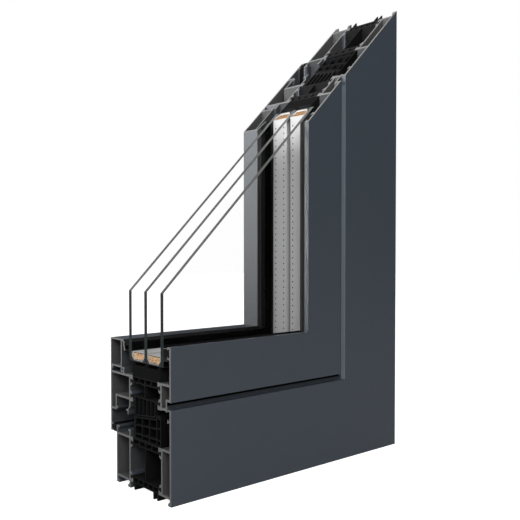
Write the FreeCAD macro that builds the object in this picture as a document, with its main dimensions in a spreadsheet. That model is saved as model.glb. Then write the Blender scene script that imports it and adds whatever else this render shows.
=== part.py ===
import FreeCAD, Part
import os
import Sketcher

# Corner sample of a thermally broken aluminium window, lower right corner seen from outside.
# Each member is described by one section: "across" is the depth from the outside face to the room,
# "up" is the height above the outer edge of the frame. The rail runs along X, the jamb along Z.

SIZES = (
    # whole sample
    ("rail_length", 252, "bottom member, from its square cut to the outer corner"),
    ("jamb_height", 405, "upright member, from the floor to the tip of its slanted cut"),
    # frame
    ("frame_depth", 77, "outside face to room face of the frame"),
    ("frame_face", 69.7, "visible height of the frame's outside face"),
    ("frame_outer_depth", 13, "depth of the frame's outer shell"),
    ("frame_inner_depth", 21, "depth of the frame's inner shell"),
    ("foot_height", 5, "free height under the frame's chambers"),
    ("frame_body", 35, "height of the frame's chambers with their webs"),
    ("upstand", 5.2, "height of the inner shell's edges above its chamber"),
    # sash
    ("sash_step", 9, "how far the sash stands behind the frame, on the room side"),
    ("face_gap", 5.5, "shadow gap between the two outside faces"),
    ("sash_face", 39.5, "visible height of the sash's outside face"),
    ("sash_outer_depth", 13.9, "depth of the sash's outer shell"),
    ("sash_inner_depth", 30, "depth of the sash's inner shell"),
    ("rebate_depth", 26.9, "height of the glazing rebate"),
    ("sash_body", 20.2, "height of the sash's chambers with their webs"),
    ("overlap", 5.6, "how far the sash leg covers the frame's rear edge"),
    ("recess", 5.1, "setback of the sash under its outside face"),
    ("rear_box", 9.1, "depth of the chamber behind the hardware groove, with its walls"),
    ("glazing_groove", 6.2, "height of the groove for the outer glazing gasket"),
    ("overlap_groove", 3.6, "height of the groove for the overlap gasket"),
    ("groove_depth", 9.4, "depth of the hardware groove"),
    ("groove_lip", 2.3, "lips that narrow the mouth of the hardware groove"),
    # walls
    ("face_wall", 2, "outside walls"),
    ("wall", 1.7, "inner walls and webs"),
    ("lip", 1.4, "thickness of lips and hooks"),
    ("hook", 2.7, "reach of the gasket hooks behind a wall"),
    ("tooth", 0.7, "height of a tooth at a hook's end"),
    ("toe", 2.2, "reach of the toes at the frame's feet"),
    ("seal_drop", 8, "seal hook behind the frame's face, below its top"),
    ("rib", 0.8, "small ribs on the webs behind the outside walls"),
    ("rib_gap", 1.5, "gap between such a rib and the wall"),
    # seats of the insulating bars
    ("seat_inset", 4.3, "centre of a bar seat below the edge of the chamber"),
    ("seat_mouth", 1.1, "half height of the seat at its mouth"),
    ("seat_base", 1.9, "half height of the seat at its base"),
    ("seat_reach", 3.6, "length of the seat's long lip"),
    ("seat_short", 2.5, "length of the seat's short lip"),
    ("fit", 0.1, "clearance of a piece in its seat"),
    # insulating bars
    ("bar_wall", 1, "walls of the insulating bars"),
    ("fin", 2, "thickness of the fins under the lower bar"),
    ("fin_step", 5.1, "distance between the two outer fins"),
    ("fin_inset", 1.6, "rear fin, from the end of the bar"),
    ("fin_chamfer", 0.5, "chamfers at the fins' ends"),
    ("comb_inset", 6.7, "first wall of the sash's lower bar, from its shell"),
    ("comb_front", 6.7, "depth of the comb under the chambers, at the outside"),
    ("comb_rear", 10, "depth of the comb under the chambers, at the room side"),
    # centre gasket
    ("gasket_wall", 1.2, "walls of the centre gasket"),
    ("gasket_gap", 0.6, "gap between the centre gasket and the sash"),
    ("gasket_column", 6.5, "width of the centre gasket's front column"),
    ("gasket_end", 5.4, "distance of the centre gasket from the inner shell"),
    ("gasket_rise", 2.8, "height of the front column above the slope"),
    # glass unit
    ("pane", 4, "thickness of one pane"),
    ("cavity", 18, "width of one cavity"),
    ("glass_set", 9.3, "distance of the outer pane behind the outside face"),
    ("edge_cover", 15.5, "height of glass covered by the sash"),
    ("spacer_height", 6.6, "height of the spacer"),
    ("spacer_setback", 0.9, "seal under the spacer"),
    ("spacer_wall", 0.7, "wall of the spacer"),
    ("spacer_chamfer", 2.8, "chamfer of the spacer's back corners"),
    ("butyl", 0.3, "seal between spacer and pane"),
    # glazing bead
    ("bead_drop", 0.4, "bead top below the sash face's top"),
    ("bead_wall", 1.4, "walls of the bead"),
    ("bead_step", 1.5, "gap between the bead's arm and its tube, at the top"),
    ("bead_round", 1.5, "radius of the bead's top edge on the room side"),
    ("bead_foot", 3.8, "height of the bead above the rebate's floor"),
    ("bead_gasket", 6.2, "gap between the inner pane and the bead's arm, at its lower end"),
    ("arm_height", 8.5, "height of the bead's gasket arm"),
    ("arm_slant", 2.3, "slant of the bead's gasket arm"),
    ("arm_tooth", 0.9, "tooth on the bead's arm that holds the gasket"),
    ("gasket_skin", 1, "wall of the inner glazing gasket"),
    ("bead_stop", 4.6, "height of the upstand that holds the bead"),
    ("bead_clearance", 0.6, "gap between that upstand's hook and the bead"),
    # rebate insulation
    ("insulation_height", 8.2, "height of the block under the glass"),
    ("insulation_rib", 2.2, "height of its ribs"),
    ("rib_width", 3, "width of its ribs"),
    # corner cleats
    ("cleat_leg", 60, "length of a corner cleat's legs"),
    ("cleat_play", 0.2, "clearance of a corner cleat in its chamber"),
)

# Cells in a row, and the levels of the centre gasket's shelves as shares of its height
BAR_CELLS = 4
FRAME_BAR_CELLS = 5
COMB_CELLS = 5
GASKET_COLUMNS = 3
GASKET_SHELVES = (0, 0.22, 0.64, 1)

# Upper and lower end of the tooth on the bead's arm, and top of the gasket's cell, as shares of the arm
TOOTH_TOP = 0.2
TOOTH_END = 0.36
GASKET_CELL = 0.5

# Wall of a corner cleat as a share of its leg
CLEAT_WALL = 0.2

doc = FreeCAD.newDocument("window_corner")
sheet = doc.addObject("Spreadsheet::Sheet", "Sizes")
for row, (alias, value, note) in enumerate(SIZES, start=1):
    sheet.set(f"A{row}", note)
    sheet.set(f"B{row}", str(value))
    sheet.setAlias(f"B{row}", alias)
doc.recompute()


class Size:
    """A length with its number and the expression that gives it from the sheet."""

    def __init__(self, number, text):
        self.number = number
        self.text = text

    def __add__(self, other):
        return Size(self.number + other.number, f"{self.text} + {other.text}")

    def __sub__(self, other):
        return Size(self.number - other.number, f"{self.text} - ({other.text})")

    def __mul__(self, factor):
        return Size(self.number * factor, f"({self.text}) * {factor}")

    def __truediv__(self, factor):
        return Size(self.number / factor, f"({self.text}) / {factor}")


def size(alias):
    return Size(float(sheet.get(alias)), f"Sizes.{alias}")


ZERO = Size(0, "0")

# Depths of the whole section
sash_depth = size("frame_depth") + size("sash_step")
shell_front = size("frame_depth") - size("frame_inner_depth")
sash_shell_front = sash_depth - size("sash_inner_depth")

# Heights of the whole section
body_top = size("foot_height") + size("frame_body")
frame_edge = body_top + size("upstand")
sash_bottom = size("frame_face") + size("face_gap")
sash_top = sash_bottom + size("sash_face")
rebate = sash_top - size("rebate_depth")
sash_base = rebate - size("sash_body")
glass_edge = sash_top - size("edge_cover")
bead_top = sash_top - size("bead_drop")
glass_inner = size("glass_set") + size("pane") * 3 + size("cavity") * 2
leg_bottom = frame_edge - size("overlap")

# Hardware groove of the sash
groove_top = sash_base + size("tooth")
groove_mouth = groove_top - size("groove_depth")

# Comb under the sash's lower bar, whose floor slopes towards the room
comb_left = size("sash_outer_depth") + size("comb_inset")
comb_right = sash_shell_front - size("comb_inset")
comb_floor_left = sash_base - size("comb_front")
comb_floor_right = sash_base - size("comb_rear")

# Glazing bead, its slanted arm and the upstand that holds it
arm_foot = glass_inner + size("bead_gasket")
arm_head = arm_foot + size("arm_slant")
arm_bottom = bead_top - size("arm_height")
bead_front = arm_head + size("bead_wall") + size("bead_step")
stop_tip = bead_front - size("bead_clearance")
stop_back = stop_tip - size("lip")


def between(start, end, share):
    """The place at this share of the way from start to end."""
    return start + (end - start) * share


def origin_plane(body, role):
    """The body's own origin plane with this role."""
    return next(feature for feature in body.Origin.OriginFeatures if feature.Role == role)


def sketch_on(body, role, name):
    """A sketch on one of the body's origin planes."""
    sketch = body.newObject("Sketcher::SketchObject", name)
    sketch.AttachmentSupport = [(origin_plane(body, role), "")]
    sketch.MapMode = "FlatFace"
    return sketch


def draw(sketch, outline):
    """Closed outline of straight lines, with each corner held by its two sizes."""
    first = sketch.GeometryCount
    count = len(outline)
    corners = [FreeCAD.Vector(across.number, up.number, 0) for across, up in outline]
    following = corners[1:] + corners[:1]
    sketch.addGeometry([Part.LineSegment(start, end) for start, end in zip(corners, following)])
    rules = []
    bound = []
    for index, corner in enumerate(outline):
        line = first + index
        rules.append(Sketcher.Constraint("Coincident", line, 2, first + (index + 1) % count, 1))
        axes = (("DistanceX", "Vertical", -2), ("DistanceY", "Horizontal", -1))
        for place, (distance, level, axis) in zip(corner, axes):
            before = outline[index - 1][0 if distance == "DistanceX" else 1]
            if place.text == ZERO.text:
                rules.append(Sketcher.Constraint("PointOnObject", line, 1, axis))
            elif index > 0 and before.text == place.text:
                rules.append(Sketcher.Constraint(level, line - 1))
            else:
                bound.append((len(rules), place.text))
                rules.append(Sketcher.Constraint(distance, -1, 1, line, 1, place.number))
    start = sketch.ConstraintCount
    sketch.addConstraint(rules)
    for index, text in bound:
        sketch.setExpression(f"Constraints[{start + index}]", text)


def pocket_through(body, sketch, name):
    """Cuts the sketch through the whole body, both ways."""
    pocket = body.newObject("PartDesign::Pocket", name)
    pocket.Profile = sketch
    pocket.Type = "ThroughAll"
    pocket.SideType = "Symmetric"
    return pocket


def place_body(body, across):
    """Puts a rail's body in place, with the sample's bottom centre at the origin."""
    body.setExpression("Placement.Base.x", "-Sizes.rail_length / 2")
    body.setExpression("Placement.Base.y", f"{across.text} - ({sash_depth.text}) / 2")


def round_edge(body, pad, name, corner):
    """Rounds the long edge that starts at this corner of the section."""
    doc.recompute()
    start = Part.Vertex(0, corner[0].number, corner[1].number)
    edges = []
    for index, edge in enumerate(pad.Shape.Edges, start=1):
        box = edge.BoundBox
        along = box.XLength > box.YLength + box.ZLength
        if along and edge.distToShape(start)[0] < Part.Precision.confusion():
            edges.append(f"Edge{index}")
    fillet = body.newObject("PartDesign::Fillet", f"{name}_round")
    fillet.Base = (pad, edges)
    fillet.setExpression("Radius", "Sizes.bead_round")


def member(name, outlines, length, upright, rounded=None):
    """One length of a profile: its section padded, then mitred at the corner."""
    body = doc.addObject("PartDesign::Body", name)
    body.Label = name
    section = sketch_on(body, "YZ_Plane", f"{name}_section")
    for outline in outlines:
        draw(section, outline)
    pad = body.newObject("PartDesign::Pad", f"{name}_pad")
    pad.Profile = section
    pad.setExpression("Length", length.text)
    if rounded:
        round_edge(body, pad, name, rounded)
    ends = sketch_on(body, "XZ_Plane", f"{name}_ends")
    reach = sash_top + size("sash_face")
    draw(ends, [(length, ZERO), (length + size("wall"), reach), (length - reach, reach)])
    if upright:
        draw(ends, [(ZERO, ZERO), (reach, reach), (ZERO, reach)])
    pocket_through(body, ends, f"{name}_mitres")
    place_body(body, ZERO)
    if upright:
        quarter_turn = FreeCAD.Rotation(FreeCAD.Vector(0, 1, 0), -90)
        body.Placement = FreeCAD.Placement(FreeCAD.Vector(), quarter_turn)
        body.setExpression("Placement.Base.x", "Sizes.rail_length / 2")
    return body


def both(name, outlines, rounded=None):
    """The same section as a rail and as a jamb."""
    member(f"rail_{name}", outlines, size("rail_length"), False, rounded)
    member(f"jamb_{name}", outlines, size("jamb_height"), True, rounded)


def rectangle(left, right, bottom, top):
    return [(left, bottom), (right, bottom), (right, top), (left, top)]


def outer_seat(face, edge, upper):
    """Seat of an insulating bar on a wall that faces the room, from the long lip to the wall."""
    up = 1 if upper else -1
    centre = edge - size("seat_inset") * up
    mouth = size("seat_mouth") * up
    base = size("seat_base") * up
    far = face + size("seat_reach")
    near = face + size("seat_short")
    back = mouth + size("wall") * up
    return [
        (far, edge),
        (far, centre + mouth),
        (near, centre + mouth),
        (face, centre + base),
        (face, centre - base),
        (near, centre - mouth),
        (near, centre - back),
        (face, centre - back - size("lip") * up),
    ]


def inner_seat(face, edge, upper):
    """The same seat on a wall that faces outwards."""
    return [(face - (across - face), level) for across, level in outer_seat(face, edge, upper)]


def web_rib(inside, level):
    """Small rib on a web, beside the outside wall."""
    near = inside + size("rib_gap")
    far = near + size("rib")
    return [(near, level), (near, level + size("rib")), (far, level + size("rib")), (far, level)]


def frame_outer_shell():
    face = size("frame_outer_depth")
    inside = size("face_wall")
    hook = inside + size("hook")
    bulb = hook - size("tooth")
    stem_top = size("frame_face") - size("seal_drop")
    stem_under = stem_top - size("lip")
    lip_under = size("frame_face") - size("lip")
    low = size("foot_height") + size("wall")
    outline = [
        (ZERO, ZERO),
        (inside + size("toe"), ZERO),
        (inside + size("toe"), size("wall")),
        (inside, size("wall") * 2),
        (inside, size("foot_height")),
    ]
    outline += outer_seat(face, size("foot_height"), False)
    outline += reversed(outer_seat(face, body_top, True))
    outline += reversed(web_rib(inside, body_top))
    outline += [
        (inside, body_top),
        (inside, stem_under),
        (bulb, stem_under),
        (bulb, stem_under - size("tooth")),
        (hook, stem_under - size("tooth")),
        (hook, stem_top + size("tooth")),
        (bulb, stem_top + size("tooth")),
        (bulb, stem_top),
        (inside, stem_top),
        (inside, lip_under),
        (hook, lip_under),
        (hook, size("frame_face")),
        (ZERO, size("frame_face")),
    ]
    chamber = rectangle(inside, face - size("wall"), low, body_top - size("wall"))
    return [outline, chamber]


def frame_inner_shell():
    face = shell_front
    front = face + size("wall")
    rear = size("frame_depth")
    inside = rear - size("wall")
    nib = front + size("lip")
    outline = [
        (rear, ZERO),
        (rear, frame_edge),
        (inside - size("hook"), frame_edge),
        (inside - size("hook"), frame_edge - size("lip")),
        (inside, frame_edge - size("lip")),
        (inside, body_top),
        (front, body_top),
        (front, frame_edge - size("lip")),
        (nib, frame_edge - size("lip")),
        (nib, frame_edge),
        (face, frame_edge),
        (face, body_top),
    ]
    outline += inner_seat(face, body_top, True)
    outline += reversed(inner_seat(face, size("foot_height"), False))
    outline += [
        (face, size("foot_height")),
        (face, ZERO),
        (front + size("toe"), ZERO),
        (front + size("toe"), size("wall")),
        (front, size("wall") * 2),
        (front, size("foot_height")),
        (inside, size("foot_height")),
        (inside, size("wall") * 2),
        (inside - size("toe"), size("wall")),
        (inside - size("toe"), ZERO),
    ]
    chamber = rectangle(front, inside, size("foot_height") + size("wall"), body_top - size("wall"))
    return [outline, chamber]


def bar_foot(face, edge, upper):
    """Dovetail of an insulating bar in an outer seat, from the chamber's edge inwards."""
    up = 1 if upper else -1
    centre = edge - size("seat_inset") * up
    mouth = (size("seat_mouth") - size("fit")) * up
    base = (size("seat_base") - size("fit")) * up
    body = face + size("seat_reach") + size("fit")
    return [
        (body, edge),
        (body, centre + mouth),
        (face + size("seat_short"), centre + mouth),
        (face + size("fit"), centre + base),
        (face + size("fit"), centre - base),
        (face + size("seat_short"), centre - mouth),
    ]


def bar_tail(face, edge, upper):
    """The same dovetail in an inner seat, from the bar's far side back to the chamber's edge."""
    mirrored = [(face - (across - face), level) for across, level in bar_foot(face, edge, upper)]
    return mirrored[::-1]


def bar_cells(left, right, bottom, top, count):
    """A row of equal cells between two walls."""
    pitch = (right - left - size("bar_wall")) / count
    return [
        rectangle(
            left + pitch * index + size("bar_wall"),
            left + pitch * (index + 1),
            bottom + size("bar_wall"),
            top - size("bar_wall"),
        )
        for index in range(count)
    ]


def upper_bar(face, far_face, edge, lower_edge):
    """Hollow bar between two shells, with a thin partition that hangs to the lower bar."""
    neck = edge - size("seat_inset") - size("seat_mouth") + size("fit")
    floor = lower_edge + size("seat_inset") + size("seat_mouth")
    middle = (face + far_face) / 2
    half = size("bar_wall") / 2
    outline = bar_foot(face, edge, True)
    outline += [
        (middle - half, neck),
        (middle - half, floor),
        (middle + half, floor),
        (middle + half, neck),
    ]
    outline += bar_tail(far_face, edge, True)
    left = face + size("seat_reach") + size("fit")
    right = far_face - size("seat_reach") - size("fit")
    return [outline] + bar_cells(left, right, neck, edge, BAR_CELLS)


def fin(start, level):
    """Fin that hangs from this level to the frame's outer edge, with chamfered corners."""
    end = start + size("fin")
    cut = size("fin_chamfer")
    return [(end, level), (end, cut), (end - cut, ZERO), (start + cut, ZERO), (start, cut), (start, level)]


def frame_lower_bar():
    face = size("frame_outer_depth")
    edge = size("foot_height")
    left = face + size("seat_reach") + size("fit")
    right = shell_front - size("seat_reach") - size("fit")
    neck = edge + size("seat_inset") + size("seat_mouth") - size("fit")
    outline = bar_foot(face, edge, False)[1:] + bar_tail(shell_front, edge, False)
    for start in (right - size("fin_inset") - size("fin"), left + size("fin_step"), left):
        outline += fin(start, edge)
    return [outline] + bar_cells(left, right, edge, neck, FRAME_BAR_CELLS)


def sash_outer_shell():
    face = size("sash_outer_depth")
    inside = size("face_wall")
    hook = inside + size("hook")
    notch = hook - size("tooth")
    lip_under = sash_top - size("lip")
    low_lip = lip_under - size("glazing_groove")
    recess_back = size("recess") + size("wall")
    web_under = sash_base + size("tooth")
    outline = [
        (ZERO, sash_bottom),
        (ZERO, sash_top),
        (hook, sash_top),
        (hook, lip_under - size("tooth")),
        (notch, lip_under - size("tooth")),
        (notch, lip_under),
        (inside, lip_under),
        (inside, low_lip),
        (notch, low_lip),
        (notch, low_lip + size("tooth")),
        (hook, low_lip + size("tooth")),
        (hook, low_lip - size("lip")),
        (inside, low_lip - size("lip")),
        (inside, rebate),
    ]
    outline += web_rib(inside, rebate)
    outline += outer_seat(face, rebate, True)
    outline += reversed(outer_seat(face, sash_base, False))
    outline += [
        (face - size("wall"), sash_base),
        (face - size("wall"), web_under),
        (recess_back, web_under),
        (recess_back, sash_base),
        (size("recess"), sash_base),
        (size("recess"), sash_bottom),
    ]
    chamber = [
        (recess_back, web_under + size("wall")),
        (face - size("wall"), web_under + size("wall")),
        (face - size("wall"), rebate - size("wall")),
        (inside, rebate - size("wall")),
        (inside, sash_bottom + size("wall")),
        (recess_back, sash_bottom + size("wall")),
    ]
    return [outline, chamber]


def sash_inner_shell():
    face = sash_shell_front
    front = face + size("wall")
    inside = sash_depth - size("wall")
    groove_back = sash_depth - size("rear_box")
    knee = face + size("hook")
    knee_back = knee + size("lip")
    stop_top = rebate + size("bead_stop")
    lip_top = groove_mouth + size("lip")
    nib = inside - size("toe")
    low_nib = leg_bottom + size("lip")
    high_nib = low_nib + size("overlap_groove")
    outline = [
        (sash_depth, leg_bottom),
        (sash_depth, rebate),
        (stop_back, rebate),
        (stop_back, stop_top - size("lip")),
        (stop_tip, stop_top - size("lip")),
        (stop_tip, stop_top),
        (stop_back - size("wall"), stop_top),
        (stop_back - size("wall"), rebate),
    ]
    outline += inner_seat(face, rebate, True)
    outline += reversed(inner_seat(face, sash_base, False))
    outline += [
        (face, sash_base),
        (face, lip_top + size("hook")),
        (knee, lip_top),
        (knee, groove_mouth - size("toe")),
        (knee_back, groove_mouth - size("toe")),
        (knee_back, groove_mouth),
        (knee_back + size("groove_lip"), groove_mouth),
        (knee_back + size("groove_lip"), lip_top),
        (knee_back, lip_top),
        (front, lip_top + size("hook")),
        (front, groove_top),
        (groove_back, groove_top),
        (groove_back, lip_top),
        (groove_back - size("groove_lip"), lip_top),
        (groove_back - size("groove_lip"), groove_mouth),
        (groove_back, groove_mouth),
        (groove_back, groove_mouth - size("wall")),
        (inside, groove_mouth - size("wall")),
        (inside, high_nib + size("lip")),
        (nib, high_nib + size("lip")),
        (nib, high_nib),
        (inside, high_nib),
        (inside, low_nib),
        (nib, low_nib),
        (nib, leg_bottom),
    ]
    chamber = [
        (front, groove_top + size("wall")),
        (front, rebate - size("wall")),
        (inside, rebate - size("wall")),
        (inside, groove_mouth),
        (groove_back + size("wall"), groove_mouth),
        (groove_back + size("wall"), groove_top + size("wall")),
    ]
    return [outline, chamber]


def sash_lower_bar():
    """Deep hollow bar whose slanted underside meets the centre gasket."""
    face = size("sash_outer_depth")
    centre = sash_base + size("seat_inset")
    neck_under = centre - size("seat_mouth") + size("fit")
    neck_top = centre + size("seat_mouth") - size("fit")
    outline = [(comb_left, comb_floor_left), (comb_left, neck_under)]
    outline += bar_foot(face, sash_base, False)[2:]
    outline += bar_tail(sash_shell_front, sash_base, False)[:-2]
    outline += [(comb_right, neck_under), (comb_right, comb_floor_right)]
    cells = []
    wall = size("bar_wall")
    cell_top = neck_top - wall
    for index in range(COMB_CELLS):
        start = index / COMB_CELLS
        end = (index + 1) / COMB_CELLS
        left = between(comb_left, comb_right - wall, start) + wall
        right = between(comb_left, comb_right - wall, end)
        floor_left = between(comb_floor_left, comb_floor_right, start) + wall
        floor_right = between(comb_floor_left, comb_floor_right, end) + wall
        cells.append([(left, floor_left), (right, floor_right), (right, cell_top), (left, cell_top)])
    return [outline] + cells


def centre_gasket():
    """Soft profile with rows of cells, on the frame, under the sash's lower bar."""
    left = size("frame_outer_depth")
    column = left + size("gasket_column")
    right = shell_front - size("gasket_end")
    slope_left = comb_floor_left - size("gasket_gap")
    slope_right = comb_floor_right - size("gasket_gap")
    column_top = slope_left + size("gasket_rise")
    wall = size("gasket_wall")
    outline = [
        (left, body_top),
        (right, body_top),
        (right, slope_right),
        (column, slope_left),
        (column - wall, column_top),
        (left + wall, column_top),
        (left, slope_left),
    ]
    loops = [outline]
    for low, high in zip(GASKET_SHELVES[:-1], GASKET_SHELVES[1:]):
        for index in range(GASKET_COLUMNS):
            start = index / GASKET_COLUMNS
            end = (index + 1) / GASKET_COLUMNS
            cell_left = between(column, right - wall, start)
            cell_right = between(column, right - wall, end) - wall
            top_left = between(slope_left, slope_right, start) - wall
            top_right = between(slope_left, slope_right, end) - wall
            loops.append([
                (cell_left, between(body_top, top_left, low) + wall),
                (cell_right, between(body_top, top_right, low) + wall),
                (cell_right, between(body_top, top_right, high)),
                (cell_left, between(body_top, top_left, high)),
            ])
        loops.append(rectangle(
            left + wall,
            column - wall,
            between(body_top, slope_left, low) + wall,
            between(body_top, slope_left, high),
        ))
    return loops


def rebate_insulation():
    """Block on the floor of the glazing rebate, with ribs at both ends and in the middle."""
    left = size("sash_outer_depth")
    right = sash_shell_front - size("seat_reach")
    top = rebate + size("insulation_height")
    rib_top = top + size("insulation_rib")
    middle = (left + right) / 2
    half = size("rib_width") / 2
    return [[
        (left, rebate),
        (right, rebate),
        (right, rib_top),
        (right - size("rib_width"), rib_top),
        (right - size("rib_width"), top),
        (middle + half, top),
        (middle + half, rib_top),
        (middle - half, rib_top),
        (middle - half, top),
        (left + size("rib_width"), top),
        (left + size("rib_width"), rib_top),
        (left, rib_top),
    ]]


def arm_place(share):
    """The place on the bead's arm at this share of the way down."""
    return between(arm_head, arm_foot, share), between(bead_top, arm_bottom, share)


def glazing_bead():
    """Tube on the sash's room side, with a hook at its foot and an arm for the gasket."""
    wall = size("bead_wall")
    floor = rebate + size("bead_foot")
    hook_bottom = rebate + size("tooth")
    tooth_across, tooth_level = arm_place(TOOTH_TOP)
    outline = [
        (sash_depth, rebate),
        (sash_depth, bead_top),
        (arm_head, bead_top),
        (tooth_across, tooth_level),
        (tooth_across - size("arm_tooth"), tooth_level),
        arm_place(TOOTH_END),
        (arm_foot, arm_bottom),
        (arm_foot + wall, arm_bottom),
        (arm_head + wall, bead_top - wall),
        (bead_front, bead_top - wall),
        (bead_front, hook_bottom + size("lip")),
        (stop_back + size("fit"), hook_bottom + size("lip")),
        (stop_back + size("fit"), hook_bottom),
        (bead_front + wall, hook_bottom),
        (bead_front + wall, floor),
        (sash_depth - size("bead_foot"), floor),
        (sash_depth - wall, rebate),
    ]
    chamber = rectangle(bead_front + wall, sash_depth - wall, floor + wall, bead_top - wall)
    return [outline, chamber]


def outer_glazing_gasket():
    """Gasket between the sash's face and the outer pane, clipped behind two hooks."""
    hook = size("face_wall") + size("hook") + size("fit")
    notch = hook - size("tooth") - size("fit") * 2
    back = size("face_wall") + size("fit")
    high = sash_top - size("lip") - size("fit")
    low = high - size("glazing_groove") + size("fit") * 2
    return [[
        (back, low),
        (back, high),
        (notch, high),
        (notch, high - size("tooth")),
        (hook, high - size("tooth")),
        (hook, high + size("tooth")),
        (size("glass_set"), high),
        (size("glass_set"), low - size("tooth")),
        (hook, low - size("lip")),
        (hook, low + size("tooth")),
        (notch, low + size("tooth")),
        (notch, low),
    ]]


def inner_glazing_gasket():
    """Hollow wedge between the inner pane and the bead's arm, held by the arm's tooth."""
    play = size("fit")
    skin = size("gasket_skin")
    tooth_across, tooth_level = arm_place(TOOTH_TOP)
    end_across, end_level = arm_place(TOOTH_END)
    cell_across, cell_level = arm_place(GASKET_CELL)
    outline = [
        (glass_inner, arm_bottom),
        (arm_foot - play, arm_bottom),
        (end_across - play, end_level),
        (tooth_across - size("arm_tooth") - play, tooth_level),
        (tooth_across - size("arm_tooth") - play, tooth_level + play),
        (tooth_across - play, tooth_level + play),
        (arm_head - play, bead_top),
        (glass_inner, bead_top - size("lip")),
    ]
    cell = [
        (glass_inner + skin, arm_bottom + skin),
        (arm_foot - play - skin, arm_bottom + skin),
        (cell_across - play - skin, cell_level),
        (glass_inner + skin, cell_level),
    ]
    return [outline, cell]


def overlap_gasket():
    """Gasket on the sash's rear leg, against the frame's room face."""
    back = sash_depth - size("wall") - size("fit")
    nib = sash_depth - size("wall") - size("toe") - size("fit")
    low = leg_bottom + size("lip") + size("fit")
    high = low + size("overlap_groove") - size("fit") * 2
    return [[
        (back, low),
        (back, high),
        (nib, high),
        (nib, high + size("lip")),
        (size("frame_depth"), high + size("tooth")),
        (size("frame_depth"), leg_bottom),
        (nib, leg_bottom),
        (nib, low),
    ]]


def bent(name, outlines):
    """A section swept along the rail and up the jamb, with one mitred bend and a slanted end."""
    body = doc.addObject("PartDesign::Body", name)
    body.Label = name
    path = sketch_on(body, "XZ_Plane", f"{name}_path")
    corner = size("rail_length") - glass_edge
    end = size("jamb_height") - rebate
    draw_path(path, [(ZERO, glass_edge), (corner, glass_edge), (corner, end)])
    section = sketch_on(body, "YZ_Plane", f"{name}_section")
    for outline in outlines:
        draw(section, outline)
    pipe = body.newObject("PartDesign::AdditivePipe", f"{name}_sweep")
    pipe.Profile = section
    pipe.Spine = path
    pipe.Transition = "Right corner"
    cut = sketch_on(body, "XZ_Plane", f"{name}_end")
    tip = size("rail_length")
    top = size("jamb_height")
    left = tip - sash_top
    draw(cut, [(left, top - sash_top), (tip, top), (left, top)])
    pocket_through(body, cut, f"{name}_slant")
    place_body(body, ZERO)
    return body


def draw_path(sketch, places):
    """Open run of straight lines through these places."""
    corners = [FreeCAD.Vector(across.number, up.number, 0) for across, up in places]
    sketch.addGeometry([Part.LineSegment(start, end) for start, end in zip(corners, corners[1:])])
    for line in range(len(places) - 2):
        sketch.addConstraint(Sketcher.Constraint("Coincident", line, 2, line + 1, 1))
    for index, (across, up) in enumerate(places):
        line, point = (index, 1) if index < len(places) - 1 else (index - 1, 2)
        for kind, place, axis in (("DistanceX", across, -2), ("DistanceY", up, -1)):
            if place.text == ZERO.text:
                sketch.addConstraint(Sketcher.Constraint("PointOnObject", line, point, axis))
                continue
            rule = sketch.addConstraint(Sketcher.Constraint(kind, -1, 1, line, point, place.number))
            sketch.setExpression(f"Constraints[{rule}]", place.text)


def spacer_outline(start, inset):
    """The spacer's section in the cavity that starts here, set in by this much."""
    left = start + size("butyl") + inset
    right = start + size("cavity") - size("butyl") - inset
    bottom = glass_edge + size("spacer_setback") + inset
    top = bottom - inset + size("spacer_height") - inset
    slope = size("spacer_chamfer")
    return [
        (left, top),
        (left, bottom + slope),
        (left + slope, bottom),
        (right - slope, bottom),
        (right, bottom + slope),
        (right, top),
    ]


def edge_seal(start):
    """Sealant behind the spacer, between the two panes."""
    back = spacer_outline(start, ZERO)[1:-1]
    far = start + size("cavity")
    shoulder = back[0][1]
    outline = [(start, glass_edge), (far, glass_edge), (far, shoulder)]
    outline += reversed(back)
    outline += [(start, shoulder)]
    return [outline]


def extrude_flat(name, outlines, start, end):
    """A flat piece in the plane of the window, from one depth to another."""
    body = doc.addObject("PartDesign::Body", name)
    body.Label = name
    shape = sketch_on(body, "XZ_Plane", f"{name}_outline")
    for outline in outlines:
        draw(shape, outline)
    pad = body.newObject("PartDesign::Pad", f"{name}_pad")
    pad.Profile = shape
    pad.Reversed = True
    pad.setExpression("Length", (end - start).text)
    place_body(body, start)
    return body


def cleat(name, start, end, low, high):
    """Hollow angle inside two mitred chambers between these levels."""
    play = size("cleat_play")
    leg = size("cleat_leg")
    edge = size("rail_length") - low - play
    inner = size("rail_length") - high + play
    floor = low + play
    ceiling = high - play
    wall = (ceiling - floor) * CLEAT_WALL
    outline = [
        (edge, floor),
        (edge, ceiling + leg),
        (inner, ceiling + leg),
        (inner, ceiling),
        (inner - leg, ceiling),
        (inner - leg, floor),
    ]
    corner_cell = rectangle(inner + wall, edge - wall, floor + wall, ceiling - wall)
    rail_cell = rectangle(inner - leg + wall, inner, floor + wall, ceiling - wall)
    jamb_cell = rectangle(inner + wall, edge - wall, ceiling, ceiling + leg - wall)
    extrude_flat(name, [outline, corner_cell, rail_cell, jamb_cell], start + play, end - play)


def pane(name, start):
    """One sheet of glass round the corner, cut with the sample."""
    side = size("rail_length") - glass_edge
    outline = [
        (ZERO, glass_edge),
        (side, glass_edge),
        (side, size("jamb_height") - glass_edge),
        (ZERO, size("jamb_height") - size("rail_length")),
    ]
    extrude_flat(name, [outline], start, start + size("pane"))


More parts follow.
